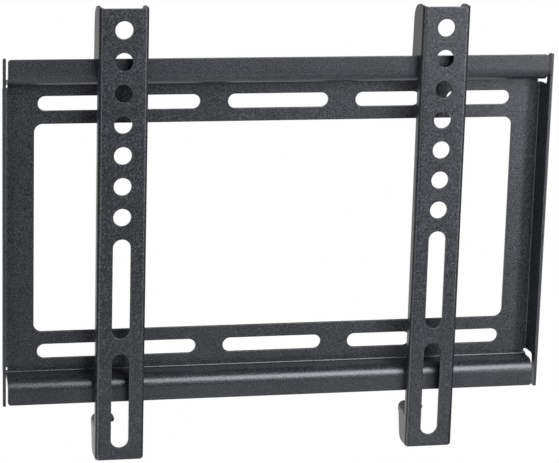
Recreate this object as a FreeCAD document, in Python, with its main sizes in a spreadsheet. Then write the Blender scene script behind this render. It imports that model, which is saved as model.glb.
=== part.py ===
import FreeCAD, Part
import os
import Sketcher
from FreeCAD import Vector

# A fixed television wall mount: a folded wall plate with a rail along its top and bottom edge, and two
# upright channel arms that screw to the television, hook over the top rail and slide along it.
# Frame: X to the right, Z up, the wall at Y = 0 and the television towards -Y. The origin is the middle
# of the wall plate's rear face. All sizes are in millimetres.

# Alias, size and meaning of every driving dimension
SIZES = [
    ("sheet_thickness", 1.5, "steel sheet of all three pieces"),
    ("plate_width", 267.2, "wall plate over the roots of its side flanges"),
    ("plate_height", 146.2, "wall plate over the outer faces of its two shelves"),
    ("rail_depth", 13.8, "wall to the front face of the rail lips"),
    ("lip_height", 11.45, "rail lip beyond its shelf"),
    ("lip_corner_radius", 1.6, "rounded ends of the lips"),
    ("bend_radius", 0.9, "inside radius of the bends at the wall plate's edges"),
    ("lip_bend_radius", 4.8, "inside radius of the bend between shelf and lip"),
    ("flange_flare", 1.0, "how far the side flanges lean out at their front edge"),
    ("bend_margin", 0.1, "flat sheet left where a bend starts"),
    ("corner_slit", 1.7, "slit where two bends meet at a corner of the sheet"),
    ("ear_width", 4.2, "strip of side flange that runs on beside the lip ends"),
    ("ear_rise", 0.4, "ear end beyond the lip edge"),
    ("ear_radius", 2.0, "rounded corners of the ear"),
    ("side_strip", 15.15, "wall plate between its side and the window"),
    ("rail_strip", 21.7, "wall plate between a shelf's outer face and the window"),
    ("window_radius", 4.0, "corners of the window"),
    ("wall_slot_width", 7.1, "slots for the wall screws"),
    ("wall_slot_inset", 11.8, "slot row below the shelf's outer face"),
    ("wall_slot_margin", 16.85, "wall plate between its side and the outer slots"),
    ("middle_slot_length", 49.6, "slot in the middle of each row"),
    ("wall_slot_bridge", 13.65, "sheet between the slots of a row"),
    ("arm_width", 23.7, "channel arm over its flanges"),
    ("arm_rise", 25.05, "arm above the top rail lip that it hangs on"),
    ("arm_standoff", 6.3, "arm face in front of the rail lips"),
    ("arm_bend_radius", 0.6, "inside radius of the arm's two bends"),
    ("web_setback", 0.25, "web end below the flange ends at the top"),
    ("left_arm_offset", 78.5, "left arm from the middle of the wall plate"),
    ("right_arm_offset", 77.55, "right arm from the middle of the wall plate"),
    ("screw_hole_diameter", 8.6, "row of holes for the television screws"),
    ("screw_hole_pitch", 15.0, "spacing of that row"),
    ("screw_hole_count", 7, "holes in that row"),
    ("screw_hole_inset", 10.15, "first hole below the web end"),
    ("screw_slot_width", 8.6, "slots for the television screws"),
    ("screw_slot_gap", 6.45, "web between the last hole and the upper slot"),
    ("screw_slot_bridge", 7.6, "web between the two slots"),
    ("screw_slot_length", 49.5, "upper slot"),
    ("web_foot", 6.3, "web below the lower slot"),
    ("rail_clearance", 0.3, "arm flanges to the rail lips"),
    ("hook_depth", 17.7, "arm face to the back of the hook"),
    ("hook_drop", 6.2, "hook tip below the lip edge that it hangs on"),
    ("hook_taper", 1.6, "lean of the hook's back edge"),
    ("crown_radius", 8.5, "upper rear corners of the arm's flanges"),
    ("foot_lead", 1.7, "lower notch above the bottom lip's edge"),
    ("foot_drop", 8.75, "lug top below the bottom lip's edge"),
    ("foot_height", 19.3, "foot tab from the lug top to the lower end of the arm"),
    ("neck_depth", 4.6, "arm face to the flange edge in the lower notch"),
    ("foot_depth", 17.2, "arm face to the back of the foot tab"),
    ("foot_taper", 3.9, "lean of the foot tab's back edge"),
    ("foot_radius", 5.0, "lower rear corner of the foot tab"),
    ("foot_edge_radius", 1.3, "rounded lower outer edges of the arm"),
    ("lug_length", 10.3, "lug folded inwards from the left foot tab"),
    ("lug_start", 6.0, "arm face to the front edge of the lug"),
    ("lug_slit", 0.3, "foot tab left flat under the lug's bend and behind its rear edge"),
    ("lug_bend_radius", 1.5, "inside radius of the lug's bend"),
    ("lug_tip_radius", 3.0, "rounded corners of the lug"),
    ("lug_hole_diameter", 5.5, "hole in the lug for a locking screw"),
    ("lug_hole_inset", 4.5, "that hole from the lug's tip"),
]

# How far a cut runs past the sheet that it goes through
OVERCUT = 5.0
# Lengths, volumes and directions that differ by less than this are the same
SAME = 0.01

X_AXIS = Vector(1, 0, 0)
Y_AXIS = Vector(0, 1, 0)
Z_AXIS = Vector(0, 0, 1)

# Wall plate levels, as expressions on the sheet of sizes
SHEET = "Sizes.sheet_thickness"
SIDE = "(Sizes.plate_width / 2)"
SHELF = "(Sizes.plate_height / 2)"
LIP_EDGE = f"({SHELF} + Sizes.lip_height)"
LIP_FRONT = "(-Sizes.rail_depth)"
LIP_REAR = f"({LIP_FRONT} + {SHEET})"
OUTER_BEND = f"(Sizes.bend_radius + {SHEET})"
RAIL_END = f"({SIDE} - {SHEET})"
RAIL_ROOT = f"({SHELF} - {OUTER_BEND} - Sizes.bend_margin)"
FLANGE_ROOT = f"({SIDE} - {OUTER_BEND} - Sizes.bend_margin)"
FLANGE_END = f"({RAIL_ROOT} - Sizes.corner_slit)"
EAR_REAR = f"({LIP_FRONT} + Sizes.ear_width)"
EAR_END = f"({LIP_EDGE} + Sizes.ear_rise)"
SLOT_ROW = f"({SHELF} - Sizes.wall_slot_inset)"

# Arm levels
ARM_SIDE = "(Sizes.arm_width / 2)"
ARM_FACE = f"({LIP_FRONT} - Sizes.arm_standoff)"
ARM_TOP = f"({LIP_EDGE} + Sizes.arm_rise)"
LUG_TOP = f"(-{LIP_EDGE} - Sizes.foot_drop)"
ARM_FOOT = f"({LUG_TOP} - Sizes.foot_height)"
WEB_TOP = f"({ARM_TOP} - Sizes.web_setback)"
ARM_BEND = f"(Sizes.arm_bend_radius + {SHEET})"
ARM_DEPTH = "max(Sizes.hook_depth; Sizes.foot_depth)"
FIRST_HOLE = f"({WEB_TOP} - Sizes.screw_hole_inset)"
LAST_HOLE = f"({FIRST_HOLE} - (Sizes.screw_hole_count - 1) * Sizes.screw_hole_pitch)"
UPPER_SLOT_TOP = f"({LAST_HOLE} - Sizes.screw_hole_diameter / 2 - Sizes.screw_slot_gap)"
UPPER_SLOT_FOOT = f"({UPPER_SLOT_TOP} - Sizes.screw_slot_length)"
LOWER_SLOT_TOP = f"({UPPER_SLOT_FOOT} - Sizes.screw_slot_bridge)"
LOWER_SLOT_FOOT = f"({ARM_FOOT} + Sizes.web_foot)"
HOOK_TIP = f"({LIP_EDGE} - Sizes.hook_drop)"
HOOK_BACK = f"({ARM_FACE} + Sizes.hook_depth)"
NOTCH_TOP = f"(-{LIP_EDGE} + Sizes.foot_lead)"
LUG_BEND = f"(Sizes.lug_bend_radius + {SHEET})"
FOOT_TOP = f"({LUG_TOP} - {LUG_BEND} - Sizes.lug_slit)"
FOOT_BACK = f"({ARM_FACE} + Sizes.foot_depth)"
LUG_FRONT = f"({ARM_FACE} + Sizes.lug_start)"
LUG_TIP = f"(-{ARM_SIDE} + Sizes.lug_length)"

doc = FreeCAD.newDocument("television_wall_mount")
sizes = doc.addObject("Spreadsheet::Sheet", "Sizes")
for line, (alias, size, meaning) in enumerate(SIZES, 1):
    sizes.set(f"A{line}", alias)
    sizes.set(f"B{line}", str(size))
    sizes.setAlias(f"B{line}", alias)
    sizes.set(f"C{line}", meaning)
doc.recompute()


def value(expression):
    """The present value of an expression on the sheet of sizes."""
    return float(sizes.evalExpression(expression))


def near(a, expression):
    return abs(a - value(expression)) < SAME


def sketch_on(body, name, role, offset=None):
    """A sketch on one of the body's own origin planes, moved along the plane's normal by an expression."""
    sketch = body.newObject("Sketcher::SketchObject", name)
    plane = next(f for f in body.Origin.OriginFeatures if f.Role == role)
    sketch.AttachmentSupport = [(plane, "")]
    sketch.MapMode = "FlatFace"
    if offset:
        sketch.setExpression("AttachmentOffset.Base.z", offset)
    return sketch


def tie(sketch, kind, geometry, point, expression):
    """Hold one coordinate of a sketch point at an expression on the sheet of sizes."""
    index = sketch.addConstraint(Sketcher.Constraint(kind, geometry, point, value(expression)))
    sketch.setExpression(f"Constraints[{index}]", expression)


def polygon(sketch, corners):
    """A closed outline with straight sides, each corner a pair of expressions."""
    points = [Vector(value(x), value(y), 0) for x, y in corners]
    first = sketch.GeometryCount
    count = len(points)
    for i in range(count):
        sketch.addGeometry(Part.LineSegment(points[i], points[(i + 1) % count]), False)
    for i in range(count):
        sketch.addConstraint(Sketcher.Constraint("Coincident", first + i, 2, first + (i + 1) % count, 1))
    for i, (x, y) in enumerate(corners):
        tie(sketch, "DistanceX", first + i, 1, x)
        tie(sketch, "DistanceY", first + i, 1, y)


def rectangle(sketch, left, right, low, high):
    polygon(sketch, [(left, low), (right, low), (right, high), (left, high)])


def circle(sketch, x, y, diameter):
    centre = Vector(value(x), value(y), 0)
    hole = sketch.addGeometry(Part.Circle(centre, Vector(0, 0, 1), value(diameter) / 2), False)
    tie(sketch, "DistanceX", hole, 3, x)
    tie(sketch, "DistanceY", hole, 3, y)
    index = sketch.addConstraint(Sketcher.Constraint("Diameter", hole, value(diameter)))
    sketch.setExpression(f"Constraints[{index}]", diameter)


def slot(sketch, start, end, width):
    """A round-ended slot between two end centres, each a pair of expressions."""
    a = Vector(value(start[0]), value(start[1]), 0)
    b = Vector(value(end[0]), value(end[1]), 0)
    radius = value(width) / 2
    run = (b - a).normalize()
    side = Vector(-run.y, run.x, 0) * radius
    near_end = Part.Arc(a + side, a - run * radius, a - side)
    far_end = Part.Arc(b - side, b + run * radius, b + side)
    shapes = [near_end, Part.LineSegment(a - side, b - side), far_end, Part.LineSegment(b + side, a + side)]
    arc, lower, cap, upper = [sketch.addGeometry(shape, False) for shape in shapes]
    for first, second in ((arc, lower), (lower, cap), (cap, upper), (upper, arc)):
        sketch.addConstraint(Sketcher.Constraint("Tangent", first, 2, second, 1))
    for geometry, centre in ((arc, start), (cap, end)):
        tie(sketch, "DistanceX", geometry, 3, centre[0])
        tie(sketch, "DistanceY", geometry, 3, centre[1])
    index = sketch.addConstraint(Sketcher.Constraint("Radius", arc, radius))
    sketch.setExpression(f"Constraints[{index}]", f"{width} / 2")


def pad(body, name, sketch, length, symmetric=False):
    feature = body.newObject("PartDesign::Pad", name)
    feature.Profile = sketch
    feature.setExpression("Length", length)
    feature.SideType = "Symmetric" if symmetric else "One side"
    doc.recompute()
    return feature


def pocket(body, name, sketch, length=None, side="One side", reverse=False):
    """Cut a sketch out of the body, through everything where no length is given."""
    before = body.Shape.Volume
    feature = body.newObject("PartDesign::Pocket", name)
    feature.Profile = sketch
    feature.SideType = side
    feature.Reversed = reverse
    if length:
        feature.setExpression("Length", length)
    else:
        feature.Type = "ThroughAll"
    doc.recompute()
    if feature.Shape.Volume > before - SAME:
        raise RuntimeError(f"{body.Label}: {name} cuts nothing")
    return feature


def mirrored(body, name, originals, role):
    feature = body.newObject("PartDesign::Mirrored", name)
    feature.Originals = originals
    feature.MirrorPlane = (next(f for f in body.Origin.OriginFeatures if f.Role == role), [""])
    body.Tip = feature
    doc.recompute()
    return feature


def fillet(body, name, radius, axis, wanted):
    """Round the straight edges along an axis whose middle point passes the test."""
    base = body.Tip
    names = []
    for number, edge in enumerate(base.Shape.Edges, 1):
        straight = isinstance(edge.Curve, Part.Line)
        along = edge.tangentAt(edge.FirstParameter).cross(axis).Length < SAME
        if straight and along and wanted(edge.CenterOfMass):
            names.append(f"Edge{number}")
    if not names:
        raise RuntimeError(f"{body.Label}: {name} finds no edge")
    feature = body.newObject("PartDesign::Fillet", name)
    feature.Base = (base, names)
    feature.setExpression("Radius", radius)
    doc.recompute()
    return feature


def make_wall_plate():
    """The folded tray: back sheet, two rails with upturned lips, and two side flanges with ears."""
    body = doc.addObject("PartDesign::Body", "wall_plate")
    body.Label = "wall_plate"

    back = sketch_on(body, "back_outline", "XZ_Plane")
    rectangle(back, f"-{FLANGE_ROOT}", FLANGE_ROOT, f"-{RAIL_ROOT}", RAIL_ROOT)
    pad(body, "back_sheet", back, SHEET)

    rail = sketch_on(body, "rail_section", "YZ_Plane")
    polygon(rail, [
        ("0", RAIL_ROOT), ("0", SHELF), (LIP_REAR, SHELF), (LIP_REAR, LIP_EDGE), (LIP_FRONT, LIP_EDGE),
        (LIP_FRONT, f"{SHELF} - {SHEET}"), (f"-{SHEET}", f"{SHELF} - {SHEET}"), (f"-{SHEET}", RAIL_ROOT),
    ])
    top_rail = pad(body, "top_rail", rail, f"2 * {RAIL_END}", symmetric=True)
    mirrored(body, "bottom_rail", [top_rail], "XY_Plane")

    lean = "Sizes.flange_flare / Sizes.rail_depth"
    flange = sketch_on(body, "flange_section", "XY_Plane")
    polygon(flange, [
        (f"{SIDE} - Sizes.side_strip", "0"), (SIDE, "0"), (f"{SIDE} + Sizes.flange_flare", LIP_FRONT),
        (f"{RAIL_END} + Sizes.flange_flare", LIP_FRONT), (f"{RAIL_END} + {SHEET} * {lean}", f"-{SHEET}"),
        (f"{SIDE} - Sizes.side_strip", f"-{SHEET}"),
    ])
    side_flange = pad(body, "side_flange", flange, f"2 * {FLANGE_END}", symmetric=True)
    ear = sketch_on(body, "ear_section", "XY_Plane")
    ear_lean = f"-{EAR_REAR} * {lean}"
    polygon(ear, [
        (f"{SIDE} + {ear_lean}", EAR_REAR), (f"{SIDE} + Sizes.flange_flare", LIP_FRONT),
        (f"{RAIL_END} + Sizes.flange_flare", LIP_FRONT), (f"{RAIL_END} + {ear_lean}", EAR_REAR),
    ])
    side_ear = pad(body, "side_ear", ear, f"2 * {EAR_END}", symmetric=True)
    mirrored(body, "other_side", [side_flange, side_ear], "YZ_Plane")

    inner_shelf = f"{SHELF} - {SHEET}"
    fillet(body, "root_bends", OUTER_BEND, X_AXIS, lambda p: near(p.y, "0") and near(abs(p.z), SHELF))
    fillet(body, "root_bend_insides", "Sizes.bend_radius", X_AXIS,
           lambda p: near(p.y, f"-{SHEET}") and near(abs(p.z), inner_shelf))
    fillet(body, "lip_bends", f"Sizes.lip_bend_radius + {SHEET}", X_AXIS,
           lambda p: near(p.y, LIP_FRONT) and near(abs(p.z), inner_shelf))
    fillet(body, "lip_bend_insides", "Sizes.lip_bend_radius", X_AXIS,
           lambda p: near(p.y, LIP_REAR) and near(abs(p.z), SHELF))
    fillet(body, "side_bends", OUTER_BEND, Z_AXIS, lambda p: near(p.y, "0") and near(abs(p.x), SIDE))
    fillet(body, "side_bend_insides", "Sizes.bend_radius", Z_AXIS,
           lambda p: near(p.y, f"-{SHEET}") and near(p.z, "0") and abs(p.x) > value(FLANGE_ROOT))
    fillet(body, "lip_corners", "Sizes.lip_corner_radius", Y_AXIS,
           lambda p: near(abs(p.x), RAIL_END) and near(abs(p.z), LIP_EDGE))
    fillet(body, "ear_corners", "Sizes.ear_radius", X_AXIS,
           lambda p: near(p.y, EAR_REAR) and abs(p.x) > value(RAIL_END))

    window = sketch_on(body, "window_outline", "XZ_Plane")
    jamb = f"({SIDE} - Sizes.side_strip)"
    sill = f"({SHELF} - Sizes.rail_strip)"
    rectangle(window, f"-{jamb}", jamb, f"-{sill}", sill)
    pocket(body, "window", window, side="Symmetric")
    fillet(body, "window_corners", "Sizes.window_radius", Y_AXIS,
           lambda p: near(abs(p.x), jamb) and near(abs(p.z), sill))

    slots = sketch_on(body, "slot_row", "XZ_Plane")
    end_radius = "Sizes.wall_slot_width / 2"
    middle = f"(Sizes.middle_slot_length / 2 - {end_radius})"
    inner = f"(Sizes.middle_slot_length / 2 + Sizes.wall_slot_bridge + {end_radius})"
    outer = f"({SIDE} - Sizes.wall_slot_margin - {end_radius})"
    for start, end in ((f"-{outer}", f"-{inner}"), (f"-{middle}", middle), (inner, outer)):
        slot(slots, (start, SLOT_ROW), (end, SLOT_ROW), "Sizes.wall_slot_width")
    upper_slots = pocket(body, "upper_slots", slots, side="Symmetric")
    mirrored(body, "lower_slots", [upper_slots], "XY_Plane")
    return body


def cut_flange(body, side, reverse):
    """Cut one flange of an arm to its outline: hook, notch over the lip, neck and foot tab."""
    beyond = f"({ARM_FACE} + {ARM_DEPTH} + {OVERCUT})"
    notch_front = f"({ARM_FACE} + Sizes.arm_standoff - Sizes.rail_clearance)"
    notch_rear = f"({LIP_REAR} + Sizes.rail_clearance)"
    crown = f"({HOOK_BACK} - Sizes.hook_taper)"
    heel = f"({FOOT_BACK} - Sizes.foot_taper)"
    neck = f"({ARM_FACE} + Sizes.neck_depth)"
    outline = sketch_on(body, f"{side}_flange_outline", "YZ_Plane")
    polygon(outline, [
        (crown, ARM_TOP), (HOOK_BACK, HOOK_TIP), (notch_rear, HOOK_TIP), (notch_rear, LIP_EDGE),
        (notch_front, LIP_EDGE), (notch_front, NOTCH_TOP), (neck, NOTCH_TOP), (neck, FOOT_TOP),
        (FOOT_BACK, FOOT_TOP), (heel, ARM_FOOT), (beyond, ARM_FOOT), (beyond, ARM_TOP),
    ])
    pocket(body, f"{side}_flange_cut", outline, reverse=reverse)
    sign = 1 if reverse else -1
    fillet(body, f"{side}_crown", "Sizes.crown_radius", X_AXIS,
           lambda p: p.x * sign > 0 and near(p.y, crown) and near(p.z, ARM_TOP))
    fillet(body, f"{side}_heel", "Sizes.foot_radius", X_AXIS,
           lambda p: p.x * sign > 0 and near(p.y, heel) and near(p.z, ARM_FOOT))


def add_lug(body):
    """Fold the top of the left foot tab inwards into a lug with a hole for a locking screw."""
    side = f"-{ARM_SIDE}"
    section = sketch_on(body, "lug_section", "XZ_Plane", offset=f"-{LUG_FRONT}")
    polygon(section, [
        (side, f"{FOOT_TOP} - {SHEET}"), (f"{side} + {SHEET}", f"{FOOT_TOP} - {SHEET}"),
        (f"{side} + {SHEET}", f"{LUG_TOP} - {SHEET}"), (LUG_TIP, f"{LUG_TOP} - {SHEET}"),
        (LUG_TIP, LUG_TOP), (side, LUG_TOP),
    ])
    lug = pad(body, "lug", section, "Sizes.foot_depth - Sizes.lug_start - Sizes.lug_slit")
    lug.Reversed = True
    doc.recompute()
    fillet(body, "lug_bend", LUG_BEND, Y_AXIS, lambda p: near(p.x, side) and near(p.z, LUG_TOP))
    fillet(body, "lug_bend_inside", "Sizes.lug_bend_radius", Y_AXIS,
           lambda p: near(p.x, f"{side} + {SHEET}") and near(p.z, f"{LUG_TOP} - {SHEET}"))
    fillet(body, "lug_tip", "Sizes.lug_tip_radius", Z_AXIS,
           lambda p: near(p.x, LUG_TIP) and near(p.z, f"{LUG_TOP} - {SHEET} / 2"))
    hole = sketch_on(body, "lug_hole_centre", "XY_Plane", offset=f"{LUG_TOP} + {OVERCUT}")
    circle(hole, f"{LUG_TIP} - Sizes.lug_hole_inset", f"({LUG_FRONT} + {FOOT_BACK}) / 2",
           "Sizes.lug_hole_diameter")
    pocket(body, "lug_hole", hole, length=f"2 * {OVERCUT}")


def make_arm(name, offset):
    """One channel arm, drawn about its own middle plane and set at its place along the rails."""
    body = doc.addObject("PartDesign::Body", name)
    body.Label = name

    channel = sketch_on(body, "channel_section", "XY_Plane", offset=ARM_FOOT)
    rear = f"{ARM_FACE} + {ARM_DEPTH}"
    inside = f"({ARM_SIDE} - {SHEET})"
    web_rear = f"({ARM_FACE} + {SHEET})"
    polygon(channel, [
        (f"-{ARM_SIDE}", ARM_FACE), (ARM_SIDE, ARM_FACE), (ARM_SIDE, rear), (inside, rear),
        (inside, web_rear), (f"-{inside}", web_rear), (f"-{inside}", rear), (f"-{ARM_SIDE}", rear),
    ])
    pad(body, "channel", channel, f"{ARM_TOP} - {ARM_FOOT}")
    fillet(body, "bends", ARM_BEND, Z_AXIS, lambda p: near(p.y, ARM_FACE) and near(abs(p.x), ARM_SIDE))
    fillet(body, "bend_insides", "Sizes.arm_bend_radius", Z_AXIS,
           lambda p: near(p.y, web_rear) and near(abs(p.x), inside))

    cut_flange(body, "left", reverse=False)
    cut_flange(body, "right", reverse=True)
    fillet(body, "foot_edges", "Sizes.foot_edge_radius", Y_AXIS,
           lambda p: near(abs(p.x), ARM_SIDE) and near(p.z, ARM_FOOT))

    setback = sketch_on(body, "web_end", "XZ_Plane", offset=f"-{ARM_FACE} + {OVERCUT}")
    web_side = f"({ARM_SIDE} - {ARM_BEND})"
    rectangle(setback, f"-{web_side}", web_side, WEB_TOP, f"{ARM_TOP} + {OVERCUT}")
    pocket(body, "web_setback", setback, length=f"{ARM_BEND} + {OVERCUT}")

    hole = sketch_on(body, "first_hole", "XZ_Plane")
    circle(hole, "0", FIRST_HOLE, "Sizes.screw_hole_diameter")
    first = pocket(body, "screw_hole", hole, side="Symmetric")
    row = body.newObject("PartDesign::LinearPattern", "screw_holes")
    row.Originals = [first]
    row.Direction = (hole, ["V_Axis"])
    row.Reversed = True
    row.setExpression("Length", "(Sizes.screw_hole_count - 1) * Sizes.screw_hole_pitch")
    row.setExpression("Occurrences", "Sizes.screw_hole_count")
    body.Tip = row
    doc.recompute()

    slots = sketch_on(body, "slot_outlines", "XZ_Plane")
    end_radius = "Sizes.screw_slot_width / 2"
    for top, foot in ((UPPER_SLOT_TOP, UPPER_SLOT_FOOT), (LOWER_SLOT_TOP, LOWER_SLOT_FOOT)):
        slot(slots, ("0", f"{top} - {end_radius}"), ("0", f"{foot} + {end_radius}"), "Sizes.screw_slot_width")
    pocket(body, "screw_slots", slots, side="Symmetric")

    add_lug(body)
    body.setExpression("Placement.Base.x", offset)
    doc.recompute()
    return body


pieces = [
    make_wall_plate(),
    make_arm("left_arm", "-Sizes.left_arm_offset"),
    make_arm("right_arm", "Sizes.right_arm_offset"),
]
doc.recompute()

for item in doc.Objects:
    if "Invalid" in item.State or "Error" in item.State:
        raise RuntimeError(f"{item.Name} failed: {item.State}")
for piece in pieces:
    if piece.Shape.isNull() or not piece.Shape.isValid() or len(piece.Shape.Solids) != 1:
        raise RuntimeError(f"{piece.Label} is not one valid solid")

os.makedirs("parts", exist_ok=True)
for piece in pieces:
    piece.Shape.exportStep(f"parts/{piece.Label}.step")
    box = piece.Shape.BoundBox
    print(piece.Label, "volume", round(piece.Shape.Volume, 1), "box",
          [round(v, 2) for v in (box.XMin, box.XMax, box.YMin, box.YMax, box.ZMin, box.ZMax)])
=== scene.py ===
import math

import bmesh
import bpy
from mathutils import Matrix, Vector
from mathutils.bvhtree import BVHTree


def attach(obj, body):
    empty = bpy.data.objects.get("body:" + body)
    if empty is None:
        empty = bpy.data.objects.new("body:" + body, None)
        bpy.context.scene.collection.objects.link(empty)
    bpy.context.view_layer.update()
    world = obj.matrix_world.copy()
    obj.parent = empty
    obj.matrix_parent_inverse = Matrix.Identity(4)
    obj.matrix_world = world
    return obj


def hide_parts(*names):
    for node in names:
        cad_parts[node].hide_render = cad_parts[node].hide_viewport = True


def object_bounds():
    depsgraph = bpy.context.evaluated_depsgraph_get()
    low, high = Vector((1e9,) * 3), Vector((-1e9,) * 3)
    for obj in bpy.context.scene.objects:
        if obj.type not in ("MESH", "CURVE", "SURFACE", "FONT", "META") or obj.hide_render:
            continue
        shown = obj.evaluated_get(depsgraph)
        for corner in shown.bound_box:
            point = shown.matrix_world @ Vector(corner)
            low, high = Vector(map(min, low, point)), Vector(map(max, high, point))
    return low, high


MM = 0.001

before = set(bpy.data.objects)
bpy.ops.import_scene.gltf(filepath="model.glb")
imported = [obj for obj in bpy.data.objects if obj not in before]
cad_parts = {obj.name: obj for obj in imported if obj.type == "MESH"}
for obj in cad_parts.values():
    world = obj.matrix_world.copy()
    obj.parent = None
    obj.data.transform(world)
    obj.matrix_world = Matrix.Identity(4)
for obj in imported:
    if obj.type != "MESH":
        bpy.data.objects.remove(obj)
cad_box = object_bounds()

# Camera, fitted to the photograph: angles in radians, picture in pixels, sensor in millimetres
CAMERA_PLACE = Vector((-248.64, -1131.54, 286.85)) * MM
CAMERA_YAW = 0.21851
CAMERA_PITCH = -0.24636
CAMERA_ROLL = 0.02845
PICTURE_WIDTH = 559
FOCAL_PIXELS = 2431.8
SENSOR_WIDTH = 36.0

# Cut edges of the sheet
MERGE_DISTANCE = 0.002 * MM
PLANE_DIGITS = 8
FLAT_ANGLE = math.radians(0.3)
SHARP_ANGLE = math.radians(35.0)
EDGE_ROUNDING = 0.22 * MM
EDGE_SEGMENTS = 2
ROUND_PROFILE = 0.5
STRAY_GAP = EDGE_ROUNDING / 2
FLAT_FACE_WEIGHT = 100

# Bridges of sheet that part the outer wall slots of each row in two, behind the arms
SHEET = 1.5 * MM
SLOT_ROW = 61.3 * MM
SLOT_RADIUS = 3.55 * MM
BRIDGE_ENDS = (70.78 * MM, 84.42 * MM)
BRIDGE_ROOT = 1.0 * MM
BRIDGE_SEGMENTS = 24

# Powder coat
COAT_COLOUR = (0.0098, 0.0102, 0.0120, 1.0)
SPECK_COLOUR = (0.066, 0.068, 0.076, 1.0)
# Lighter colour on the rounded cut edges: partly a worn thin coat, partly a painted edge highlight
RIM_WEAR_AND_HIGHLIGHT_COLOUR = (0.060, 0.060, 0.066, 1.0)
GRAIN_SIZE = 0.55 * MM
PEEL_SIZE = 3.0 * MM
MOTTLE_SIZE = 26.0 * MM
GRAIN_RELIEF = 0.050 * MM
COAT_ROUGHNESS = 0.31

# Where the coat's noises start and end, and what they are turned into
SPECK_RANGE = (0.48, 0.74)
MOTTLE_RANGE = (0.3, 0.7)
MOTTLE_SHADE = (0.88, 1.12)
PEEL_RANGE = (0.35, 0.65)
RIM_WEAR_AND_HIGHLIGHT_SHARE = (0.2, 0.9)
GRAIN_RANGE = (0.3, 0.7)
GLOSS_SWING = (-0.07, 0.07)
PEEL_SHARE = 0.5

# Floor, in metres, with how bright a reflection shows it from front to back
WHITE = (1.0, 1.0, 1.0, 1.0)
FLOOR_DROP = 0.6
FLOOR_RADIUS = 1.3
FLOOR_SEGMENTS = 96
FLOOR_COLOUR = (0.86, 0.86, 0.86, 1.0)
FLOOR_ROUGHNESS = 0.8
FLOOR_TURN = (-0.1, 0.5)
FLOOR_SEEN = (0.30, 1.0)

# Studio: light on the object, and the room and the backdrop that its reflections show
WORLD_LIGHT = 0.05
SHADE_AIM = (0.86, 0.50, 0.0)
SHADE_RAMP = (0.1, 0.6)
ROOM_GLOW = (0.15, 0.03)
BACKDROP_AIM = (-0.35, 0.92, -0.16)
BACKDROP_RAMP = (0.60, 0.90)
HORIZON_RAMP = (-0.30, -0.14)
BACKDROP_GLOW = (1.0, 0.55)
LAMP_COLOUR = (0.965, 1.0, 1.045)

# Lamps: azimuth from the front to the right and elevation in degrees,
# distance, width and height in metres, power in watts
LAMPS = {
    "key": (25.0, 34.0, 0.58, 0.46, 0.34, 6.0),
    "right_strip": (42.0, -2.0, 0.60, 0.08, 0.36, 1.0),
    "left_strip": (-36.0, -6.0, 0.70, 0.08, 0.36, 0.8),
    "front_fill": (24.0, 8.0, 0.65, 0.34, 0.30, 0.28),
    "low_front": (15.0, -30.0, 0.65, 0.40, 0.15, 0.30),
    "low_bounce": (-60.0, -40.0, 0.75, 0.40, 0.40, 2.5),
}


def socket(group, name, kind, side, value=None):
    """Add a named socket to a node group."""
    made = group.interface.new_socket(name=name, in_out=side, socket_type=kind)
    if value is not None:
        made.default_value = value
    return made


def noise(tree, vector, size, detail=2.0, roughness=0.5):
    """A noise texture whose features are about one size, in metres."""
    node = tree.nodes.new("ShaderNodeTexNoise")
    node.inputs["Scale"].default_value = 1.0 / size
    node.inputs["Detail"].default_value = detail
    node.inputs["Roughness"].default_value = roughness
    tree.links.new(vector, node.inputs["Vector"])
    return node.outputs["Fac"]


def remap(tree, value, start, end):
    """Turn the range from start's first to its last value smoothly into the range of end."""
    node = tree.nodes.new("ShaderNodeMapRange")
    node.interpolation_type = "SMOOTHSTEP"
    for name, limit in zip(("From Min", "From Max", "To Min", "To Max"), (*start, *end)):
        node.inputs[name].default_value = limit
    tree.links.new(value, node.inputs["Value"])
    return node.outputs["Result"]


def blend_colour(tree, factor, first, second, mode="MIX"):
    """Blend two colours, each a socket or a plain value."""
    node = tree.nodes.new("ShaderNodeMix")
    node.data_type = "RGBA"
    node.blend_type = mode
    for value, name in ((factor, 0), (first, 6), (second, 7)):
        if isinstance(value, bpy.types.NodeSocket):
            tree.links.new(value, node.inputs[name])
        else:
            node.inputs[name].default_value = value
    return node.outputs[2]


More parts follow.
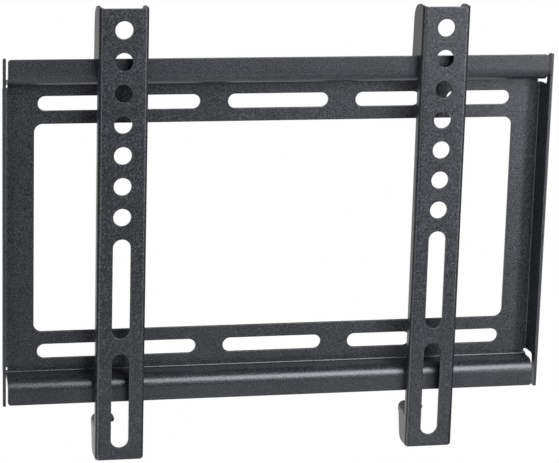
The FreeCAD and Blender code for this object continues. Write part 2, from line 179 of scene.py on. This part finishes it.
def make_coat_group():
    """Sandy powder coat: speckled colour, lighter rounded edges that are partly worn thin coat and partly a
    painted edge highlight, uneven gloss and a fine relief.
    """
    group = bpy.data.node_groups.new("powder_coat", "ShaderNodeTree")
    socket(group, "Coat", "NodeSocketColor", "INPUT", COAT_COLOUR)
    socket(group, "Speck", "NodeSocketColor", "INPUT", SPECK_COLOUR)
    socket(group, "Rim", "NodeSocketColor", "INPUT", RIM_WEAR_AND_HIGHLIGHT_COLOUR)
    socket(group, "Roughness", "NodeSocketFloat", "INPUT", COAT_ROUGHNESS)
    socket(group, "Colour", "NodeSocketColor", "OUTPUT")
    socket(group, "Gloss", "NodeSocketFloat", "OUTPUT")
    socket(group, "Relief", "NodeSocketFloat", "OUTPUT")
    start = group.nodes.new("NodeGroupInput")
    end = group.nodes.new("NodeGroupOutput")
    place = group.nodes.new("ShaderNodeTexCoord").outputs["Object"]
    grain = noise(group, place, GRAIN_SIZE, detail=3.0, roughness=0.65)
    peel = noise(group, place, PEEL_SIZE, detail=1.0)
    mottle = noise(group, place, MOTTLE_SIZE, detail=3.0, roughness=0.6)

    specks = remap(group, grain, SPECK_RANGE, (0.0, 1.0))
    colour = blend_colour(group, specks, start.outputs["Coat"], start.outputs["Speck"])
    shade = remap(group, mottle, MOTTLE_RANGE, MOTTLE_SHADE)
    tone = group.nodes.new("ShaderNodeCombineColor")
    for name in ("Red", "Green", "Blue"):
        group.links.new(shade, tone.inputs[name])
    colour = blend_colour(group, 1.0, colour, tone.outputs["Color"], "MULTIPLY")
    # Rounded cut edges take the lighter rim colour in patches: partly worn thin coat, partly a painted edge
    # highlight
    rim = group.nodes.new("ShaderNodeAttribute")
    rim.attribute_name = "rim"
    rim_wear_and_highlight = group.nodes.new("ShaderNodeMath")
    rim_wear_and_highlight.operation = "MULTIPLY"
    group.links.new(rim.outputs["Fac"], rim_wear_and_highlight.inputs[0])
    group.links.new(remap(group, peel, PEEL_RANGE, RIM_WEAR_AND_HIGHLIGHT_SHARE), rim_wear_and_highlight.inputs[1])
    colour = blend_colour(group, rim_wear_and_highlight.outputs["Value"], colour, start.outputs["Rim"])
    group.links.new(colour, end.inputs["Colour"])

    swing = remap(group, grain, GRAIN_RANGE, GLOSS_SWING)
    gloss = group.nodes.new("ShaderNodeMath")
    gloss.operation = "ADD"
    group.links.new(start.outputs["Roughness"], gloss.inputs[0])
    group.links.new(swing, gloss.inputs[1])
    group.links.new(gloss.outputs["Value"], end.inputs["Gloss"])

    relief = group.nodes.new("ShaderNodeMath")
    relief.operation = "MULTIPLY_ADD"
    relief.inputs[1].default_value = PEEL_SHARE
    group.links.new(peel, relief.inputs[0])
    group.links.new(grain, relief.inputs[2])
    group.links.new(relief.outputs["Value"], end.inputs["Relief"])
    return group


def make_coat(name, group):
    """A coated steel material."""
    material = bpy.data.materials.new(name)
    material.use_nodes = True
    tree = material.node_tree
    shader = tree.nodes["Principled BSDF"]
    coat = tree.nodes.new("ShaderNodeGroup")
    coat.node_tree = group
    bump = tree.nodes.new("ShaderNodeBump")
    bump.inputs["Distance"].default_value = GRAIN_RELIEF
    tree.links.new(coat.outputs["Colour"], shader.inputs["Base Color"])
    tree.links.new(coat.outputs["Gloss"], shader.inputs["Roughness"])
    tree.links.new(coat.outputs["Relief"], bump.inputs["Height"])
    tree.links.new(bump.outputs["Normal"], shader.inputs["Normal"])
    return material


def bridge_outline(side, row):
    """The outline of one bridge in X and Z, hollowed by the round ends of the slots beside it."""
    near, far = BRIDGE_ENDS[0] - SLOT_RADIUS, BRIDGE_ENDS[1] + SLOT_RADIUS
    root = SLOT_RADIUS + BRIDGE_ROOT
    points = [(far, -root), (far, root), (near, root), (near, -root)]
    for centre, turn, place in ((near, 0.0, 3), (far, math.pi, 1)):
        arc = [turn + math.pi / 2 - math.pi * step / BRIDGE_SEGMENTS for step in range(BRIDGE_SEGMENTS + 1)]
        points[place:place] = [(centre + SLOT_RADIUS * math.cos(angle), SLOT_RADIUS * math.sin(angle))
                               for angle in arc]
    return [(side * x, row + z) for x, z in points]


def make_bridges():
    """The four bridges as one mesh of closed slabs, flush with the sheet."""
    mesh = bpy.data.meshes.new("slot_bridges")
    work = bmesh.new()
    for side in (-1.0, 1.0):
        for row in (-SLOT_ROW, SLOT_ROW):
            corners = [work.verts.new((x, 0.0, z)) for x, z in bridge_outline(side, row)]
            slab = bmesh.ops.extrude_face_region(work, geom=[work.faces.new(corners)])
            moved = [item for item in slab["geom"] if isinstance(item, bmesh.types.BMVert)]
            bmesh.ops.translate(work, verts=moved, vec=(0.0, -SHEET, 0.0))
    bmesh.ops.recalc_face_normals(work, faces=work.faces)
    work.to_mesh(mesh)
    work.free()
    return mesh


def join_meshes(first, second):
    """The union of two closed meshes."""
    pair = [bpy.data.objects.new(mesh.name, mesh) for mesh in (first, second)]
    for item in pair:
        bpy.context.scene.collection.objects.link(item)
    union = pair[0].modifiers.new("union", "BOOLEAN")
    union.operation = "UNION"
    union.solver = "EXACT"
    union.object = pair[1]
    bpy.context.view_layer.update()
    evaluated = pair[0].evaluated_get(bpy.context.evaluated_depsgraph_get())
    joined = bpy.data.meshes.new_from_object(evaluated)
    for item in pair:
        bpy.data.objects.remove(item)
    return joined


def weld(node_name):
    """A copy of a CAD node's mesh with its loose triangles joined and its planes exact, as a union needs."""
    mesh = bpy.data.meshes.new(node_name)
    work = bmesh.new()
    work.from_mesh(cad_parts[node_name].data)
    for vert in work.verts:
        vert.co = [round(value, PLANE_DIGITS) for value in vert.co]
    bmesh.ops.remove_doubles(work, verts=work.verts, dist=MERGE_DISTANCE)
    work.to_mesh(mesh)
    work.free()
    return mesh


def round_edges(sheet, piece_name):
    """A copy of a folded sheet with its cut edges rounded and marked as rim."""
    mesh = bpy.data.meshes.new(piece_name)
    work = bmesh.new()
    work.from_mesh(sheet)
    bmesh.ops.remove_doubles(work, verts=work.verts, dist=MERGE_DISTANCE)
    bmesh.ops.dissolve_limit(work, angle_limit=FLAT_ANGLE, verts=work.verts, edges=work.edges)
    rim = work.faces.layers.float.new("rim")
    cut_edges = [edge for edge in work.edges if edge.is_manifold and edge.calc_face_angle() > SHARP_ANGLE]
    surface = BVHTree.FromBMesh(work)
    made = bmesh.ops.bevel(work, geom=cut_edges, offset=EDGE_ROUNDING, offset_type="OFFSET",
                           segments=EDGE_SEGMENTS, profile=ROUND_PROFILE, affect="EDGES", clamp_overlap=False)
    # Where slits meet, a rounding can throw a corner off the sheet
    for vert in work.verts:
        place, _, _, gap = surface.find_nearest(vert.co)
        if gap > STRAY_GAP:
            vert.co = place
    for face in work.faces:
        face.smooth = True
    for face in made["faces"]:
        face[rim] = 1.0
    work.to_mesh(mesh)
    work.free()
    return mesh


def make_piece(node_name, piece_name, material):
    """A coated sheet with rounded cut edges, in place of the CAD node."""
    sheet = weld(node_name)
    if node_name == "wall_plate":
        sheet = join_meshes(sheet, make_bridges())
    mesh = round_edges(sheet, piece_name)
    mesh.materials.clear()
    mesh.materials.append(material)
    piece = bpy.data.objects.new(piece_name, mesh)
    bpy.context.scene.collection.objects.link(piece)
    weights = piece.modifiers.new("even_faces", "WEIGHTED_NORMAL")
    weights.weight = FLAT_FACE_WEIGHT
    weights.keep_sharp = True
    bpy.context.view_layer.update()
    evaluated = piece.evaluated_get(bpy.context.evaluated_depsgraph_get())
    piece.data = bpy.data.meshes.new_from_object(evaluated)
    piece.modifiers.clear()
    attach(piece, node_name)
    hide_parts(node_name)


def make_camera():
    """The camera at the photograph's place and angle."""
    forward = Vector((math.sin(CAMERA_YAW) * math.cos(CAMERA_PITCH),
                      math.cos(CAMERA_YAW) * math.cos(CAMERA_PITCH), math.sin(CAMERA_PITCH)))
    level = Vector((math.cos(CAMERA_YAW), -math.sin(CAMERA_YAW), 0.0))
    above = level.cross(forward)
    right = level * math.cos(CAMERA_ROLL) + above * math.sin(CAMERA_ROLL)
    up = above * math.cos(CAMERA_ROLL) - level * math.sin(CAMERA_ROLL)
    lens = bpy.data.cameras.new("camera")
    lens.sensor_fit = "HORIZONTAL"
    lens.sensor_width = SENSOR_WIDTH
    lens.lens = FOCAL_PIXELS / PICTURE_WIDTH * SENSOR_WIDTH
    camera = bpy.data.objects.new("camera", lens)
    facing = Matrix((right, up, -forward)).transposed().to_4x4()
    camera.matrix_world = Matrix.Translation(CAMERA_PLACE) @ facing
    bpy.context.scene.collection.objects.link(camera)
    bpy.context.scene.camera = camera


def make_lamp(name, azimuth, elevation, distance, width, height, power):
    """An area lamp that faces the middle of the mount."""
    light = bpy.data.lights.new(name, "AREA")
    light.shape = "RECTANGLE"
    light.size, light.size_y = width, height
    light.energy = power
    light.color = LAMP_COLOUR
    lamp = bpy.data.objects.new(name, light)
    turn, rise = math.radians(azimuth), math.radians(elevation)
    heading = Vector((math.sin(turn) * math.cos(rise), -math.cos(turn) * math.cos(rise), math.sin(rise)))
    lamp.rotation_euler = (-heading).to_track_quat("-Z", "Y").to_euler()
    lamp.location = heading * distance
    bpy.context.scene.collection.objects.link(lamp)


def mirror_rays(tree):
    """1 for what is seen in a reflection or through glass, otherwise 0."""
    rays = tree.nodes.new("ShaderNodeLightPath")
    either = tree.nodes.new("ShaderNodeMath")
    either.operation = "MAXIMUM"
    tree.links.new(rays.outputs["Is Glossy Ray"], either.inputs[0])
    tree.links.new(rays.outputs["Is Transmission Ray"], either.inputs[1])
    return either.outputs["Value"]


def make_world():
    """A white backdrop to the eye and in reflections, and a dim room in front of it as a light."""
    world = bpy.data.worlds.new("studio")
    bpy.context.scene.world = world
    world.use_nodes = True
    tree = world.node_tree
    background = tree.nodes["Background"]
    background.inputs["Color"].default_value = WHITE
    direction = tree.nodes.new("ShaderNodeTexCoord").outputs["Generated"]
    parts = tree.nodes.new("ShaderNodeSeparateXYZ")
    tree.links.new(direction, parts.inputs["Vector"])
    aim = tree.nodes.new("ShaderNodeVectorMath")
    aim.operation = "DOT_PRODUCT"
    aim.inputs[1].default_value = BACKDROP_AIM
    tree.links.new(direction, aim.inputs[0])
    behind = remap(tree, aim.outputs["Value"], BACKDROP_RAMP, (0.0, 1.0))
    backdrop = tree.nodes.new("ShaderNodeMix")
    shade = tree.nodes.new("ShaderNodeVectorMath")
    shade.operation = "DOT_PRODUCT"
    shade.inputs[1].default_value = SHADE_AIM
    tree.links.new(direction, shade.inputs[0])
    room = remap(tree, shade.outputs["Value"], SHADE_RAMP, ROOM_GLOW)
    tree.links.new(room, backdrop.inputs["A"])
    tree.links.new(behind, backdrop.inputs["Factor"])
    tree.links.new(remap(tree, parts.outputs["Z"], HORIZON_RAMP, BACKDROP_GLOW), backdrop.inputs["B"])

    glow = tree.nodes.new("ShaderNodeMix")
    glow.inputs["A"].default_value = WORLD_LIGHT
    tree.links.new(mirror_rays(tree), glow.inputs["Factor"])
    tree.links.new(backdrop.outputs["Result"], glow.inputs["B"])
    shown = tree.nodes.new("ShaderNodeMix")
    shown.inputs["B"].default_value = 1.0
    eye = tree.nodes.new("ShaderNodeLightPath").outputs["Is Camera Ray"]
    tree.links.new(eye, shown.inputs["Factor"])
    tree.links.new(glow.outputs["Result"], shown.inputs["A"])
    tree.links.new(shown.outputs["Result"], background.inputs["Strength"])


def make_floor():
    """A pale floor far below the mount, white towards the back in reflections."""
    mesh = bpy.data.meshes.new("floor")
    work = bmesh.new()
    bmesh.ops.create_circle(work, cap_ends=True, segments=FLOOR_SEGMENTS, radius=FLOOR_RADIUS)
    work.to_mesh(mesh)
    work.free()
    mesh.transform(Matrix.Translation((0.0, 0.0, cad_box[0][2] - FLOOR_DROP)))
    paint = bpy.data.materials.new("floor_paint")
    paint.use_nodes = True
    tree = paint.node_tree
    shader = tree.nodes["Principled BSDF"]
    shader.inputs["Base Color"].default_value = FLOOR_COLOUR
    shader.inputs["Roughness"].default_value = FLOOR_ROUGHNESS
    shader.inputs["Emission Color"].default_value = WHITE
    place = tree.nodes.new("ShaderNodeSeparateXYZ")
    tree.links.new(tree.nodes.new("ShaderNodeTexCoord").outputs["Object"], place.inputs["Vector"])
    glow = tree.nodes.new("ShaderNodeMath")
    glow.operation = "MULTIPLY"
    tree.links.new(mirror_rays(tree), glow.inputs[0])
    tree.links.new(remap(tree, place.outputs["Y"], FLOOR_TURN, FLOOR_SEEN), glow.inputs[1])
    tree.links.new(glow.outputs["Value"], shader.inputs["Emission Strength"])
    mesh.materials.append(paint)
    floor = bpy.data.objects.new("floor", mesh)
    bpy.context.scene.collection.objects.link(floor)


coat = make_coat("charcoal_powder_coat", make_coat_group())
for node_name in ("wall_plate", "left_arm", "right_arm"):
    make_piece(node_name, f"coated_{node_name}", coat)

make_camera()
for name, setting in LAMPS.items():
    make_lamp(name, *setting)
make_world()
make_floor()
bpy.context.scene.view_settings.view_transform = "Standard"
